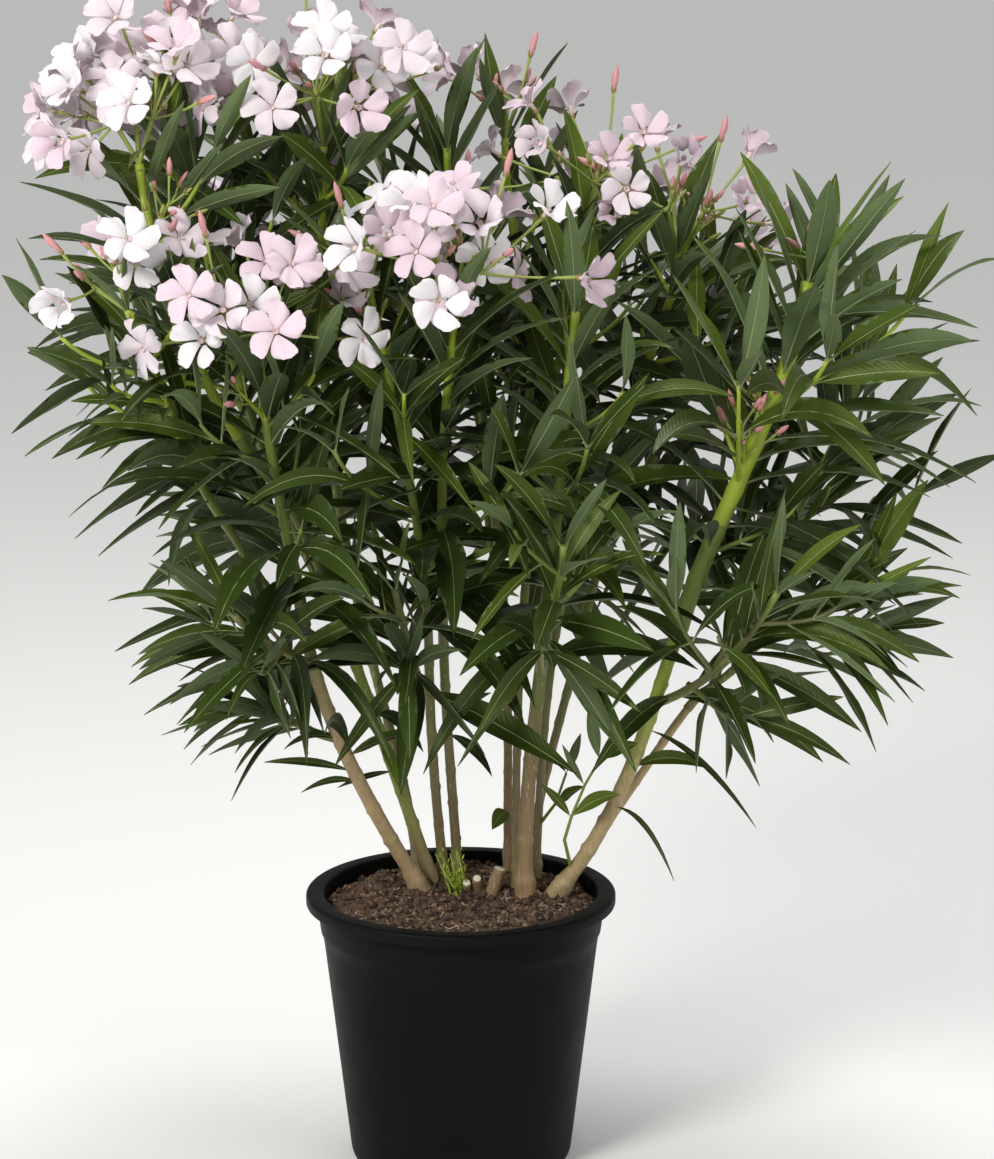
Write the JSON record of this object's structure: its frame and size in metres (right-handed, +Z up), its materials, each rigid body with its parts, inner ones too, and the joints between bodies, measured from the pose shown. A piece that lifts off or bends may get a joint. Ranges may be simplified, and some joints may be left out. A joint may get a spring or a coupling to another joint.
{
  "type": "potted oleander",
  "caption": "Potted flowering oleander: leaning canes from the soil of a round tapered nursery pot, with long leaves in whorls and loose heads of pale pink flowers.",
  "frame": {"origin": "middle of the pot's underside, on its flat centre pad, which is level with the rim of the foot", "axes": "+Z up, the way the plant grows; -Y towards the plant's front; +X to the right seen from the front"},
  "size_m": [0.7505, 0.5492, 0.9204],
  "materials": {
    "pot": "matte",
    "soil": "matte",
    "bark": "matte",
    "green_wood": "satin",
    "foliage": "satin"
  },
  "bodies": {
    "root": {"pot": "pot", "soil": "soil", "cane_left_front": "bark", "cane_left": "bark", "cane_left_rear": "bark", "cane_middle_left": "bark", "cane_middle_right": "bark", "cane_centre": "bark", "cane_centre_thin": "bark", "cane_centre_rear": "bark", "cane_centre_back": "bark", "cane_right": "bark", "cane_right_thin": "bark", "cane_right_rear": "bark", "stub_tall": "bark", "stub_low_left": "bark", "stub_low_right": "bark", "bough_left": "green_wood", "bough_left_side": "green_wood", "bough_left_rear": "green_wood", "bough_back_left": "green_wood", "bough_centre": "green_wood", "bough_centre_rear": "green_wood", "bough_back": "green_wood", "bough_centre_back": "green_wood", "bough_right_rear": "green_wood", "bough_right_thin": "green_wood", "mass_left_front": "foliage", "mass_left_low": "foliage", "mass_left_foot": "foliage", "mass_left_top": "foliage", "mass_left_outer": "foliage", "mass_left_side": "foliage", "mass_middle_left": "foliage", "mass_middle_low": "foliage", "mass_middle": "foliage", "mass_centre": "foliage", "mass_centre_low": "foliage", "mass_centre_top": "foliage", "mass_top_leafy": "foliage", "mass_top_bloom": "foliage", "mass_upper_left": "foliage", "mass_back_left": "foliage", "mass_back_left_low": "foliage", "mass_back": "foliage", "mass_back_low": "foliage", "mass_back_top": "foliage", "mass_right_top": "foliage", "mass_back_right": "foliage", "mass_back_right_low": "foliage", "mass_back_right_top": "foliage", "mass_right": "foliage", "mass_right_front": "foliage", "mass_right_outer": "foliage", "mass_right_low": "foliage"}
  },
  "joints": []
}
